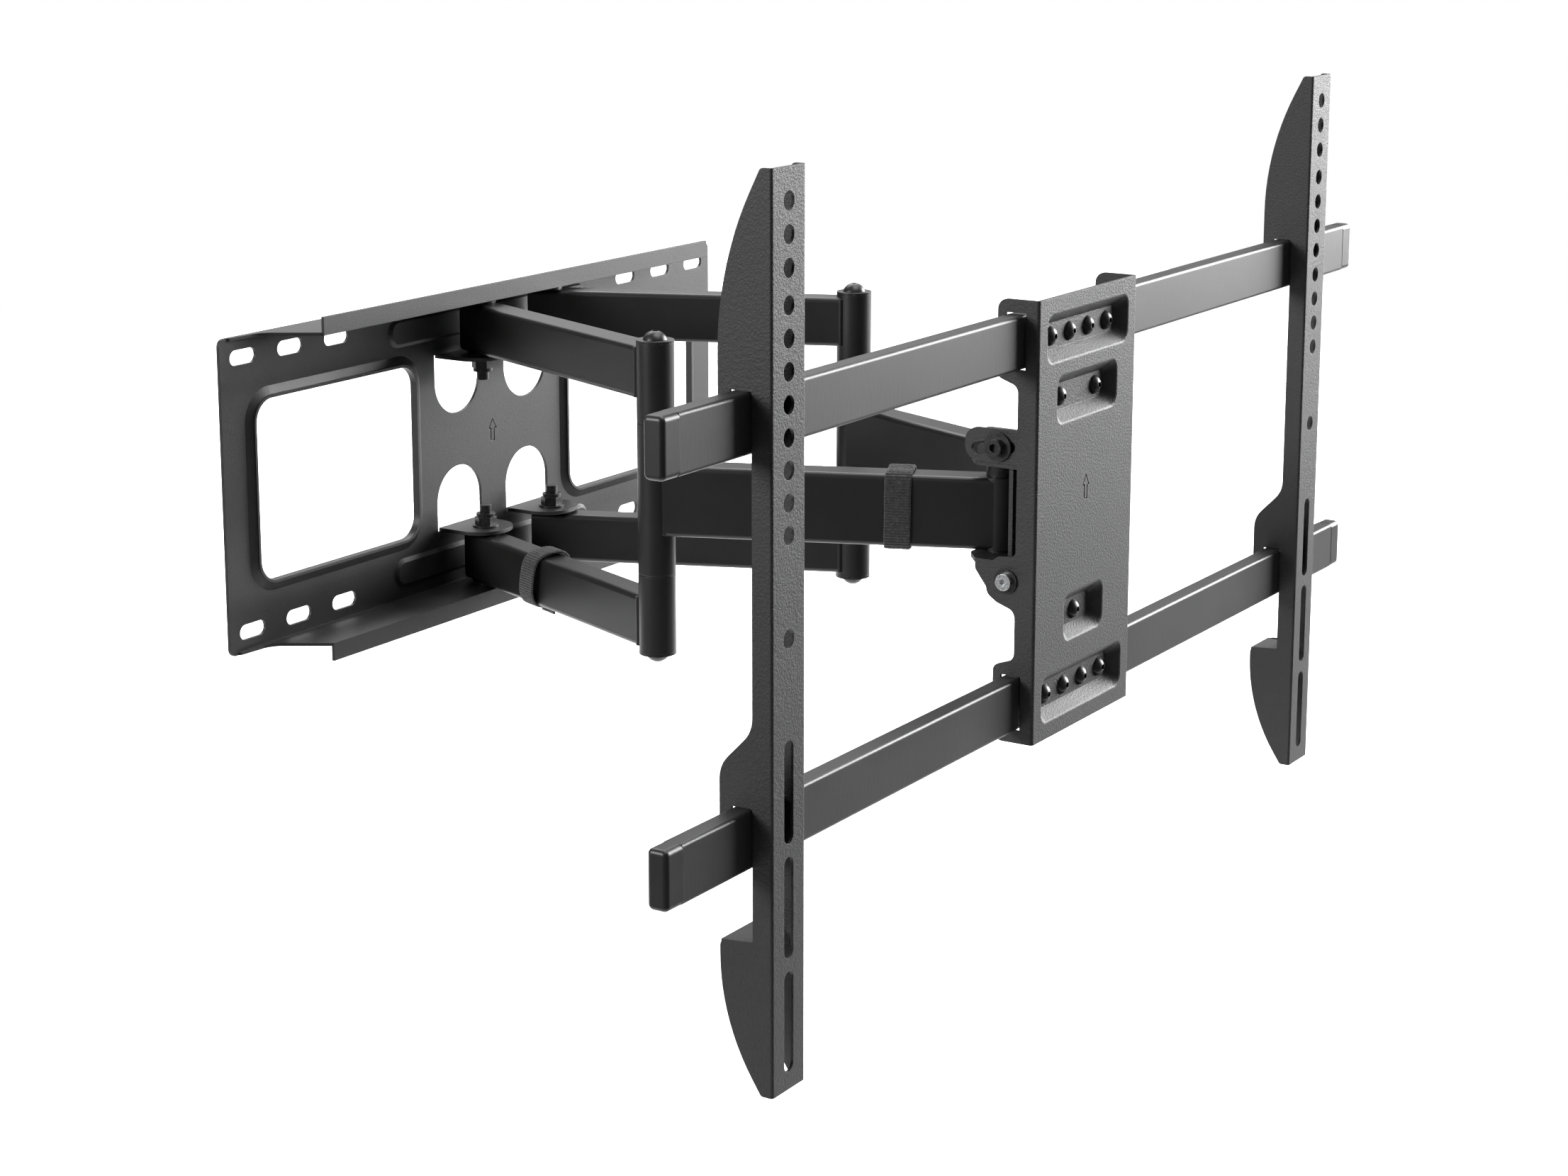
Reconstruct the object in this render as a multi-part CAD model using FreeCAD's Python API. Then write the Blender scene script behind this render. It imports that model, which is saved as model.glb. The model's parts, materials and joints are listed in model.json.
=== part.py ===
import FreeCAD, Part
import math
import os

# Full-motion television wall mount: a channel-shaped wall plate, two folding arm pairs,
# a tilting head with two cross rails, and two upright brackets that hook over the rails.
# Millimetres. X runs along the wall, Z is up, +Y goes into the wall.
# The origin is the middle of the wall plate's back face, so the television side is -Y.

V = FreeCAD.Vector
X_AXIS, Y_AXIS, Z_AXIS = V(1, 0, 0), V(0, 1, 0), V(0, 0, 1)

# ---- driving dimensions ------------------------------------------------------------------
# wall plate
PLATE_T = 2.5
PLATE_HALF_W = 331.0
PLATE_HALF_H = 124.0
FLANGE_DEPTH = 47.0
LIP_HEIGHT = 12.0
LIP_HALF_W = 262.0
SLOT_X = (305.0, 251.5, 197.0)
SLOT_Z = 107.5
SLOT_LENGTH, SLOT_WIDTH = 29.0, 12.0
WINDOW_X, WINDOW_W, WINDOW_H = 200.5, 192.0, 144.0
WINDOW_RIM = 4.0
EAR_Z = 72.0
EAR_T = 3.0
EAR_REACH = 50.0
ARCH_TOP_Z = 22.5
RIB_Z, RIB_HALF_W, RIB_H = 100.0, 134.0, 24.0

# folding arms
PIVOT_X = 46.0
WALL_PIVOT_Y = -29.5
ARM_LENGTH = 264.0
KNUCKLE_X = 145.8
INNER_W, INNER_H, INNER_Z = 25.0, 41.0, 97.5
OUTER_W, OUTER_H = 28.0, 55.0
TUBE_WALL = 2.5
KNUCKLE_D = 29.0
KNUCKLE_HALF_H = 120.5
MIDDLE_HALF_H = 58.5
SEAM = 1.2
PIN_D = 12.0
BOLT_D = 10.0
RUN = 0.05

# head: yoke, centre plate, rails
YOKE_HALF_W = 77.0
YOKE_T = 3.5
YOKE_TOP_Z, YOKE_BOTTOM_Z = 40.5, -30.0
YOKE_WEB_Y = -543.0
YOKE_DECK_FRONT_Y = -552.0
TILT_Y, TILT_Z = -542.0, -43.7
LOCK_Y, LOCK_Z = -534.0, 57.0
TILT_UP, TILT_DOWN = 5.0, 10.0
SWIVEL_LIMIT = 4.0
CENTRE_FRONT_Y = -566.0
CENTRE_HALF_W, CENTRE_HALF_H = 80.0, 167.0
SHEET = 2.5
RECESS_DEPTH = 9.0
RECESS_BLEND = 2.5
ENGRAVE_W, ENGRAVE_DEPTH = 1.0, 0.8
RAIL_FRONT_Y = -554.5
RAIL_DEPTH, RAIL_HEIGHT, RAIL_WALL = 15.0, 40.0, 1.5
RAIL_Z = 136.25
RAIL_HALF_L = 523.0
CAP_LENGTH = 18.0
RAIL_BOLT_X = (-45.0, -15.0, 15.0, 45.0)
UPPER_BOLT_X, UPPER_BOLT_Z = 28.5, 89.0
LOWER_BOLT_Z = -80.0

# television brackets
BRACKET_X = 424.5
BRACKET_FRONT_Y = -570.0
BRACKET_W, BRACKET_T = 39.5, 2.0
BRACKET_TOP, BRACKET_BOTTOM = 296.5, -311.0
HOLE_R, HOLE_PITCH = 6.2, 21.0
FIRST_HOLE_Z = 275.0
LAST_HOLE_Z = -5.0
LONG_SLOT_Z = (-107.0, -185.3, -263.8)
LONG_SLOT_LENGTH, LONG_SLOT_WIDTH = 69.5, 11.0

FOLD_SIN = (KNUCKLE_X - PIVOT_X) / ARM_LENGTH
FOLD_COS = math.sqrt(1.0 - FOLD_SIN ** 2)
KNUCKLE_Y = WALL_PIVOT_Y - ARM_LENGTH * FOLD_COS
HEAD_PIVOT_Y = KNUCKLE_Y - ARM_LENGTH * FOLD_COS

os.makedirs("parts", exist_ok=True)


# ---- helpers -----------------------------------------------------------------------------
def on_xz(y):
    """Places a flat outline (u, v) on the plane at y, u along X and v along Z."""
    return lambda u, v: V(u, y, v)


def on_yz(x):
    """Places a flat outline on the plane at x, u along Y and v along Z."""
    return lambda u, v: V(x, u, v)


def on_xy(z):
    """Places a flat outline on the plane at z, u along X and v along Y."""
    return lambda u, v: V(u, v, z)


def outline(points, place):
    """Closed wire through (u, v, radius) points, each corner rounded by its radius."""
    count = len(points)
    corners = []
    for i, (u, v, radius) in enumerate(points):
        here = V(u, v, 0)
        back = V(*points[i - 1][:2], 0) - here
        ahead = V(*points[(i + 1) % count][:2], 0) - here
        if radius <= 0:
            corners.append((here, here, here))
            continue
        back.normalize()
        ahead.normalize()
        half = back.getAngle(ahead) / 2.0
        reach = radius / math.tan(half)
        middle = (back + ahead).normalize() * (radius / math.sin(half) - radius)
        corners.append((here + back * reach, here + middle, here + ahead * reach))
    edges = []
    for i, (start, middle, end) in enumerate(corners):
        before = corners[i - 1][2]
        if (start - before).Length > 1e-6:
            edges.append(Part.LineSegment(place(before.x, before.y), place(start.x, start.y)).toShape())
        if (end - start).Length > 1e-6:
            arc = Part.Arc(place(start.x, start.y), place(middle.x, middle.y), place(end.x, end.y))
            edges.append(arc.toShape())
    return Part.Wire(edges)


def plate(points, place, depth):
    """Solid made by pushing a rounded outline along the vector depth."""
    return Part.Face(outline(points, place)).extrude(depth)


def rect(u, v, width, height, radius=0.0):
    """Rounded rectangle centred on (u, v)."""
    a, b = width / 2.0, height / 2.0
    return [(u - a, v - b, radius), (u + a, v - b, radius), (u + a, v + b, radius), (u - a, v + b, radius)]


def slot(u, v, length, width, upright=False):
    """Round-ended slot centred on (u, v); the ends keep a hair of straight edge."""
    radius = width / 2.0 - 0.01
    return rect(u, v, width, length, radius) if upright else rect(u, v, length, width, radius)


def block(x0, x1, y0, y1, z0, z1):
    return Part.makeBox(x1 - x0, y1 - y0, z1 - z0, V(x0, y0, z0))


def rod(radius, start, direction, length):
    return Part.makeCylinder(radius, length, start, direction)


def fuse(shapes):
    return shapes[0].fuse(shapes[1:]).removeSplitter() if len(shapes) > 1 else shapes[0]


def mirrored(shape):
    return shape.mirror(V(0, 0, 0), X_AXIS)


def flipped(shape):
    return shape.mirror(V(0, 0, 0), Z_AXIS)


def both_sides(shape):
    return [shape, mirrored(shape)]


def hex_prism(across, start, direction, length):
    """Hexagonal prism of the given width across flats."""
    radius = across / math.sqrt(3.0)
    points = [V(radius * math.cos(math.radians(a)), radius * math.sin(math.radians(a)), 0)
              for a in range(0, 360, 60)]
    solid = Part.Face(Part.makePolygon(points + points[:1])).extrude(V(0, 0, length))
    solid.Placement = FreeCAD.Placement(start, FreeCAD.Rotation(Z_AXIS, direction))
    return solid


def ring(outer, inner, start, direction, length):
    return rod(outer, start, direction, length).cut(rod(inner, start, direction, length))


def button_screw(head_r, head_h, shank_r, shank_l, socket, start, direction):
    """Dome-headed screw with a hex socket; start is under the head, direction points out."""
    sphere_r = (head_r ** 2 + head_h ** 2) / (2.0 * head_h)
    sphere = Part.makeSphere(sphere_r, start + direction * (head_h - sphere_r))
    dome = sphere.common(rod(head_r, start, direction, head_h + 1.0))
    screw = dome.fuse(rod(shank_r, start - direction * shank_l, direction, shank_l + 0.2)).removeSplitter()
    return screw.cut(hex_prism(socket, start + direction * (head_h * 0.45), direction, head_h))


def save(name, shape):
    """Writes one node; a list becomes one file with several separate solids."""
    solids = shape if isinstance(shape, list) else [shape]
    bodies = [solid for item in solids for solid in item.Solids]
    result = bodies[0] if len(bodies) == 1 else Part.makeCompound(bodies)
    result.exportStep("parts/%s.step" % name)


def up_arrow(u, v, place, push):
    """Engraved outline of a plain upward arrow, 19 mm tall."""
    def arrow(grow):
        tip, wing, stem, foot = 9.4 + grow * 1.6, 5.0 + grow * 1.4, 2.2 + grow, 9.0 + grow
        return [(u, v + tip, 0), (u + wing, v + 1.5 - grow, 0), (u + stem, v + 1.5 - grow, 0),
                (u + stem, v - foot, 0), (u - stem, v - foot, 0), (u - stem, v + 1.5 - grow, 0),
                (u - wing, v + 1.5 - grow, 0)]
    return plate(arrow(ENGRAVE_W / 2), place, push).cut(plate(arrow(-ENGRAVE_W / 2), place, push))


# ---- wall plate --------------------------------------------------------------------------
def plate_front_shape():
    front_y = -PLATE_T
    push = V(0, PLATE_T, 0)
    sheet = plate(rect(0, 0, 2 * PLATE_HALF_W, 2 * PLATE_HALF_H, 6.0), on_xz(front_y), push)
    rims = []
    for side in (-1, 1):
        rim = plate(rect(side * WINDOW_X, 0, WINDOW_W + 5, WINDOW_H + 5, 20.5),
                    on_xz(front_y - WINDOW_RIM), V(0, WINDOW_RIM + PLATE_T, 0))
        foot = Part.makeLoft([outline(rect(side * WINDOW_X, 0, WINDOW_W + 18, WINDOW_H + 18, 27), on_xz(front_y)),
                              outline(rect(side * WINDOW_X, 0, WINDOW_W + 5, WINDOW_H + 5, 20.5),
                                      on_xz(front_y - WINDOW_RIM + 1.0))], True, True)
        rims += [rim, foot]
    for side in (-1, 1):
        pad = Part.makeLoft([outline(rect(0, side * RIB_Z, 2 * RIB_HALF_W, RIB_H, 11.9), on_xz(front_y)),
                             outline(rect(0, side * RIB_Z, 2 * RIB_HALF_W - 6, RIB_H - 6, 8.9),
                                     on_xz(front_y - 2.5))], True, True)
        rims.append(pad)
    return fuse([sheet] + rims)


def plate_flange(side):
    """Top (side 1) or bottom (side -1) flange with tapered ends and an outward lip."""
    z0 = PLATE_HALF_H - PLATE_T
    root = PLATE_HALF_W - 8.0
    points = [(-root, 0, 0), (root, 0, 0), (root - 1, -4, 3), (LIP_HALF_W + 26, -6, 18),
              (LIP_HALF_W, -FLANGE_DEPTH, 6), (-LIP_HALF_W, -FLANGE_DEPTH, 6),
              (-LIP_HALF_W - 26, -6, 18), (-root + 1, -4, 3)]
    flange = plate(points, on_xy(z0), V(0, 0, PLATE_T))
    lip = block(-LIP_HALF_W, LIP_HALF_W, -FLANGE_DEPTH, -FLANGE_DEPTH + PLATE_T, z0, PLATE_HALF_H + LIP_HEIGHT)
    shape = flange.fuse(lip)
    return shape if side > 0 else flipped(shape)


def arch_points(x, grow=0.0):
    """Half-oval cut-out whose flat edge carries the bent-out ear."""
    half = 29.5 + grow
    return [(x - half, -EAR_Z - EAR_T, 0), (x + half, -EAR_Z - EAR_T, 0),
            (x + half, -ARCH_TOP_Z, half - 0.5), (x - half, -ARCH_TOP_Z, half - 0.5)]


def plate_ear(x):
    """Round-ended ear bent forward from the flat edge of a cut-out."""
    points = [(x - 26, 0, 0), (x + 26, 0, 0), (x + 26, -EAR_REACH, 24), (x - 26, -EAR_REACH, 24)]
    return plate(points, on_xy(-EAR_Z - EAR_T), V(0, 0, EAR_T))


def wall_plate():
    deep = V(0, 60, 0)
    body = fuse([plate_front_shape(), plate_flange(1), plate_flange(-1)])
    cuts = []
    for side in (-1, 1):
        cuts.append(plate(rect(side * WINDOW_X, 0, WINDOW_W, WINDOW_H, 18), on_xz(-30), deep))
        arch = plate(arch_points(side * 46.5), on_xz(-30), deep)
        cuts += [arch, flipped(arch)]
        for x in SLOT_X:
            cuts += [plate(slot(side * x, z, SLOT_LENGTH, SLOT_WIDTH), on_xz(-30), deep)
                     for z in (-SLOT_Z, SLOT_Z)]
    body = body.cut(cuts)
    ears = []
    for side in (-1, 1):
        ear = plate_ear(side * PIVOT_X)
        ears += [ear, flipped(ear)]
    body = fuse([body] + ears)
    bolts = [rod(BOLT_D / 2 + 0.3, V(side * PIVOT_X, WALL_PIVOT_Y, -200), Z_AXIS, 400) for side in (-1, 1)]
    arrow = up_arrow(0, 0, on_xz(-PLATE_T - 1), V(0, 1 + ENGRAVE_DEPTH, 0))
    return body.cut(bolts + [arrow])


def wall_pivot_set():
    """Bolts, nuts and washers of the four arm pivots on the wall plate."""
    bolts, nuts, washers = [], [], []
    ear_top = EAR_Z + EAR_T
    arm_low, arm_high = INNER_Z - INNER_H / 2, INNER_Z + INNER_H / 2
    for x in (-PIVOT_X, PIVOT_X):
        centre = lambda z: V(x, WALL_PIVOT_Y, z)
        bolt = button_screw(10.5, 6.0, BOLT_D / 2, PLATE_HALF_H + 2 - 53.5, 6.0, centre(PLATE_HALF_H + 2), Z_AXIS)
        nut = ring(8.0, BOLT_D / 2 + RUN, centre(60.5), Z_AXIS, 3.0)
        hexagon = hex_prism(16.0, centre(63.5), Z_AXIS, EAR_Z - 1.6 - 63.5)
        nut = nut.fuse(hexagon).cut(rod(BOLT_D / 2 + RUN, centre(50), Z_AXIS, 30)).removeSplitter()
        low = [ring(12.0, BOLT_D / 2 + RUN, centre(PLATE_HALF_H), Z_AXIS, 2.0),
               ring(11.0, BOLT_D / 2 + RUN, centre(EAR_Z - 1.6), Z_AXIS, 1.6),
               ring(12.0, BOLT_D / 2 + RUN, centre(ear_top), Z_AXIS, arm_low - ear_top - 0.1),
               ring(12.0, BOLT_D / 2 + RUN, centre(arm_high + 0.1), Z_AXIS, PLATE_HALF_H - PLATE_T - arm_high - 0.1)]
        bolts += [bolt, flipped(bolt)]
        nuts += [nut, flipped(nut)]
        washers += low + [flipped(item) for item in low]
    return bolts, nuts, washers


# ---- folding arms ------------------------------------------------------------------------
def box_tube(x0, x1, width, height, z, closed_end):
    """Rounded box tube along local X; the hollow stops short of the closed end."""
    outer = plate(rect(0, z, width, height, 4.0), on_yz(x0), V(x1 - x0, 0, 0))
    hollow = plate(rect(0, z, width - 2 * TUBE_WALL, height - 2 * TUBE_WALL, 1.8), on_yz(x0 - 1),
                   V(closed_end - x0 + 1, 0, 0))
    return outer, hollow


def place_arm(shape, start, end):
    """Turns a part built along local X so that it runs from start to end."""
    angle = math.degrees(math.atan2(end.y - start.y, end.x - start.x))
    shape = shape.copy()
    shape.Placement = FreeCAD.Placement(V(start.x, start.y, 0), FreeCAD.Rotation(Z_AXIS, angle))
    return shape


def inner_arm():
    """Upper inner arm along local X: box tube from the wall pivot to its knuckle sleeve."""
    outer, hollow = box_tube(-15, ARM_LENGTH - 8, INNER_W, INNER_H, INNER_Z, ARM_LENGTH - 22)
    low = INNER_Z - INNER_H / 2
    knuckle = rod(KNUCKLE_D / 2, V(ARM_LENGTH, 0, MIDDLE_HALF_H + SEAM), Z_AXIS,
                  KNUCKLE_HALF_H - MIDDLE_HALF_H - SEAM)
    sleeve = rod(8.0, V(0, 0, low), Z_AXIS, INNER_H)
    welds = [rod(2.0, V(ARM_LENGTH - 9.5, side * (INNER_W / 2 - 1), low + 1), Z_AXIS, INNER_H - 2)
             for side in (-1, 1)]
    body = fuse([outer.cut(hollow), knuckle, sleeve] + welds)
    return body.cut([rod(PIN_D / 2 + RUN, V(ARM_LENGTH, 0, 0), Z_AXIS, 200),
                     rod(BOLT_D / 2 + RUN, V(0, 0, 0), Z_AXIS, 200)])


def outer_arm():
    """Outer arm along local X: knuckle sleeve, tall box tube and head sleeve."""
    outer, hollow = box_tube(8, ARM_LENGTH, OUTER_W, OUTER_H, 0, ARM_LENGTH - 20)
    hollow = hollow.common(block(22, ARM_LENGTH, -50, 50, -50, 50))
    knuckle = rod(KNUCKLE_D / 2, V(0, 0, -MIDDLE_HALF_H), Z_AXIS, 2 * MIDDLE_HALF_H)
    head = rod(KNUCKLE_D / 2, V(ARM_LENGTH, 0, -OUTER_H / 2), Z_AXIS, OUTER_H)
    welds = [rod(2.0, V(9.0, side * (OUTER_W / 2 - 2), -OUTER_H / 2 + 1), Z_AXIS, OUTER_H - 2)
             for side in (-1, 1)]
    body = fuse([outer.cut(hollow), knuckle, head] + welds)
    return body.cut([rod(9.0 + RUN, V(0, 0, -100), Z_AXIS, 200),
                     rod(BOLT_D / 2 + RUN, V(ARM_LENGTH, 0, -100), Z_AXIS, 200)])


def knuckle_set(x):
    """Pin, end screws, washers and bushes of one knuckle."""
    at = lambda z: V(x, KNUCKLE_Y, z)
    screw_r = 4.0
    pin = rod(PIN_D / 2, at(-KNUCKLE_HALF_H), Z_AXIS, 2 * KNUCKLE_HALF_H)
    bore = rod(screw_r + RUN, at(KNUCKLE_HALF_H - 22), Z_AXIS, 30)
    pin = pin.cut([bore, flipped(bore)])
    washer = ring(KNUCKLE_D / 2 + 0.1, screw_r + RUN, at(KNUCKLE_HALF_H), Z_AXIS, 2.2)
    screw = button_screw(9.5, 7.0, screw_r, 20.0, 5.0, at(KNUCKLE_HALF_H + 2.2), Z_AXIS)
    flange = ring(KNUCKLE_D / 2 - 0.4, PIN_D / 2 + RUN, at(MIDDLE_HALF_H + 0.02), Z_AXIS, SEAM - 0.04)
    sleeve = ring(9.0, PIN_D / 2 + RUN, at(MIDDLE_HALF_H - 22), Z_AXIS, 22.02)
    bush = flange.fuse(sleeve).removeSplitter()
    return pin, [screw, flipped(screw)], [washer, flipped(washer)], [bush, flipped(bush)]


def strap_ring(width, height, z, along, band, gap, thick):
    """Hook-and-loop strap round a box tube, as a plain closed band."""
    outside = rect(0, z, width + 2 * (gap + thick), height + 2 * (gap + thick), 4.0 + gap + thick)
    inside = rect(0, z, width + 2 * gap, height + 2 * gap, 4.0 + gap)
    push = V(band, 0, 0)
    return plate(outside, on_yz(along), push).cut(plate(inside, on_yz(along), push))


# ---- head yoke ---------------------------------------------------------------------------
def arc_slot(pivot, radius, a0, a1, width, place, push):
    """Slot of constant width along a circle about pivot, from angle a0 to a1 in degrees."""
    def at(r, a):
        return place(pivot[0] + r * math.cos(math.radians(a)), pivot[1] + r * math.sin(math.radians(a)))
    r0, r1 = radius - width / 2, radius + width / 2
    centre_angle = (a0 + a1) / 2
    end = math.degrees(width / 2 / radius)
    edges = [Part.Arc(at(r0, a0), at(r0, centre_angle), at(r0, a1)),
             Part.Arc(at(r0, a1), at(radius, a1 + end), at(r1, a1)),
             Part.Arc(at(r1, a1), at(r1, centre_angle), at(r1, a0)),
             Part.Arc(at(r1, a0), at(radius, a0 - end), at(r0, a0))]
    return Part.Face(Part.Wire([edge.toShape() for edge in edges])).extrude(push)


def head_yoke():
    """Folded bracket that carries the head pivots and, on its ears, the tilt bolts."""
    front, rear = YOKE_DECK_FRONT_Y, HEAD_PIVOT_Y + 17
    top = YOKE_TOP_Z + YOKE_T
    bottom = YOKE_BOTTOM_Z - YOKE_T
    half = YOKE_HALF_W
    plan = [(-half, front, 4), (half, front, 4), (half, -514, 6), (half - 16, rear, 8),
            (-half + 16, rear, 8), (-half, -514, 6)]
    decks = [plate(plan, on_xy(z), V(0, 0, YOKE_T)) for z in (YOKE_TOP_Z, bottom)]
    window_depth = 28.0
    window = plate(rect(0, YOKE_WEB_Y - window_depth / 2, 2 * (half - 10), window_depth, 3), on_xy(-100),
                   V(0, 0, 200))
    web = block(-half + 4, half - 4, YOKE_WEB_Y, YOKE_WEB_Y + YOKE_T, bottom + 1, top - 1)
    upper = plate([(front, YOKE_TOP_Z, 0), (-514, YOKE_TOP_Z, 0), (-516, LOCK_Z + 13, 9), (front, LOCK_Z + 13, 9)],
                  on_yz(-half), V(YOKE_T, 0, 0))
    lower = plate([(-558, -46, 14), (front, bottom + 3, 3), (-514, bottom + 3, 2), (-514, -38, 6),
                   (-525, TILT_Z - 9, 10), (-542, TILT_Z - 16, 14)], on_yz(-half), V(YOKE_T, 0, 0))
    ears = both_sides(upper) + both_sides(lower)
    body = fuse([deck.cut(window) for deck in decks] + [web] + ears)
    sweep = SWIVEL_LIMIT + 0.6
    swivel_slot = arc_slot((-PIVOT_X, HEAD_PIVOT_Y), 2 * PIVOT_X, -sweep, sweep, BOLT_D + 0.6,
                           on_xy(-100), V(0, 0, 200))
    return body.cut([rod(BOLT_D / 2 + RUN, V(-PIVOT_X, HEAD_PIVOT_Y, -100), Z_AXIS, 200), swivel_slot,
                     rod(4.0 + RUN, V(-100, TILT_Y, TILT_Z), X_AXIS, 200),
                     rod(4.0 + RUN, V(-100, LOCK_Y, LOCK_Z), X_AXIS, 200)])


def head_pivot_set(x):
    """Bolt, nut, spacer and washers of one head pivot."""
    at = lambda z: V(x, HEAD_PIVOT_Y, z)
    deck_top = YOKE_TOP_Z + YOKE_T
    deck_bottom = YOKE_BOTTOM_Z - YOKE_T
    bolt = button_screw(9.0, 6.0, BOLT_D / 2, deck_top + 2.1 + 45.5, 6.0, at(deck_top + 2.1), Z_AXIS)
    nut = hex_prism(16.0, at(deck_bottom - 9.6), Z_AXIS, 7.5).cut(rod(BOLT_D / 2 + RUN, at(-60), Z_AXIS, 40))
    bore = BOLT_D / 2 + RUN
    spacers = [ring(11.0, bore, at(OUTER_H / 2 + 0.1), Z_AXIS, YOKE_TOP_Z - OUTER_H / 2 - 0.2),
               ring(11.5, bore, at(YOKE_BOTTOM_Z + 0.1), Z_AXIS, -OUTER_H / 2 - YOKE_BOTTOM_Z - 0.2)]
    washers = [ring(11.5, bore, at(deck_top + 0.1), Z_AXIS, 2.0),
               ring(11.5, bore, at(deck_bottom - 2.1), Z_AXIS, 2.0)]
    return bolt, nut, spacers + washers


# ---- centre plate, rails and their fasteners ---------------------------------------------
def recess(z, width, height):
    """Pressed-in pocket: the sheet that forms it and the hollow in front of it."""
    front, back = CENTRE_FRONT_Y, CENTRE_FRONT_Y + RECESS_DEPTH
    slope = 8.0

    def loft(y0, y1, grow):
        wide = outline(rect(0, z, width + 2 * grow, height + 2 * grow, 9.0 + grow), on_xz(y0))
        small = outline(rect(0, z, width + 2 * grow - 2 * slope, height + 2 * grow - 2 * slope, 4.0 + grow),
                        on_xz(y1))
        return Part.makeLoft([wide, small], True, True)
    return loft(front + SHEET, back + SHEET, 0.8), loft(front, back, 0.0)


def centre_side():
    """Side flange outline with rail openings, slotted lock tab and tilt ear, on the left."""
    front = CENTRE_FRONT_Y
    narrow, wide = front + 16.5, front + 34.0
    tab_rear = -506.0
    ear_r = 17.0
    points = [(front, -CENTRE_HALF_H, 0), (wide - 6, -CENTRE_HALF_H, 4), (wide, -CENTRE_HALF_H + 8, 6),
              (wide, -109, 6), (narrow, -103, 7), (narrow, -66, 8), (TILT_Y + 8, TILT_Z - 17, 8),
              (TILT_Y + 16.5, TILT_Z - 11, 9), (TILT_Y + 17.5, TILT_Z + 10, 9), (TILT_Y + 7, TILT_Z + 18, 8),
              (narrow, TILT_Z + 19, 4), (narrow, LOCK_Z - 12.5, 2), (tab_rear, LOCK_Z - 12.5, 11),
              (tab_rear, LOCK_Z + 12.5, 11), (narrow, LOCK_Z + 13.5, 2), (narrow, 103, 7),
              (wide, 109, 6), (wide, CENTRE_HALF_H, 8), (front, CENTRE_HALF_H, 0)]
    side = plate(points, on_yz(-CENTRE_HALF_W), V(SHEET, 0, 0))
    lock_r = math.hypot(LOCK_Y - TILT_Y, LOCK_Z - TILT_Z)
    lock_angle = math.degrees(math.atan2(LOCK_Z - TILT_Z, LOCK_Y - TILT_Y))
    push = V(SHEET + 2, 0, 0)
    cuts = [arc_slot((TILT_Y, TILT_Z), lock_r, lock_angle - TILT_DOWN - 0.3, lock_angle + TILT_UP + 0.3, 9.0,
                     on_yz(-CENTRE_HALF_W - 1), push),
            rod(4.0 + RUN, V(-100, TILT_Y, TILT_Z), X_AXIS, 60)]
    for z in (-RAIL_Z, RAIL_Z):
        cuts.append(block(-100, -60, RAIL_FRONT_Y - 0.6, RAIL_FRONT_Y + RAIL_DEPTH + 1.0,
                          z - RAIL_HEIGHT / 2 - 1.0, z + RAIL_HEIGHT / 2 + 1.0))
    return side.cut(cuts)


def centre_plate():
    front = plate(rect(0, 0, 2 * CENTRE_HALF_W, 2 * CENTRE_HALF_H, 3.0), on_xz(CENTRE_FRONT_Y), V(0, SHEET, 0))
    pockets = [recess(RAIL_Z, 132, 36), recess(-RAIL_Z, 132, 36), recess(UPPER_BOLT_Z, 98, 36),
               recess(LOWER_BOLT_Z, 64, 36)]
    body = fuse([front] + both_sides(centre_side()) + [solid for solid, _ in pockets])
    body = body.cut([hollow for _, hollow in pockets])
    mouths = [edge for edge in body.Edges
              if edge.BoundBox.YMax < CENTRE_FRONT_Y + 0.01 and edge.BoundBox.YMin > CENTRE_FRONT_Y - 0.01
              and abs(edge.CenterOfMass.x) < CENTRE_HALF_W - 5 and abs(edge.CenterOfMass.z) < CENTRE_HALF_H - 5]
    body = body.makeFillet(RECESS_BLEND, mouths)
    holes = [rod(3.3, V(x, -600, z), Y_AXIS, 60) for x in RAIL_BOLT_X for z in (-RAIL_Z, RAIL_Z)]
    holes += [rod(3.3, V(x, -600, UPPER_BOLT_Z), Y_AXIS, 60) for x in (-UPPER_BOLT_X, UPPER_BOLT_X)]
    holes.append(rod(3.3, V(0, -600, LOWER_BOLT_Z), Y_AXIS, 60))
    body = body.cut(holes + [up_arrow(0, 16, on_xz(CENTRE_FRONT_Y - 1), V(0, 1 + ENGRAVE_DEPTH, 0))])
    long_edges = [edge for edge in body.Edges
                  if abs(edge.Length - 2 * CENTRE_HALF_H) < 10
                  and abs(edge.BoundBox.YMin - CENTRE_FRONT_Y) < 0.01 and edge.BoundBox.XLength < 0.01]
    return body.makeFillet(2.4, long_edges) if long_edges else body


def rear_stiffener():
    """Flat backing plate that the three middle bolts clamp behind the centre plate."""
    y = CENTRE_FRONT_Y + RECESS_DEPTH + SHEET
    points = [(-12, LOWER_BOLT_Z - 14, 8), (12, LOWER_BOLT_Z - 14, 8), (44, UPPER_BOLT_Z - 10, 10),
              (44, UPPER_BOLT_Z + 14, 8), (-44, UPPER_BOLT_Z + 14, 8), (-44, UPPER_BOLT_Z - 10, 10)]
    body = plate(points, on_xz(y), V(0, 3.0, 0))
    return body.cut([rod(3.3, V(x, -600, UPPER_BOLT_Z), Y_AXIS, 60) for x in (-UPPER_BOLT_X, UPPER_BOLT_X)]
                    + [rod(3.3, V(0, -600, LOWER_BOLT_Z), Y_AXIS, 60)])


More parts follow.
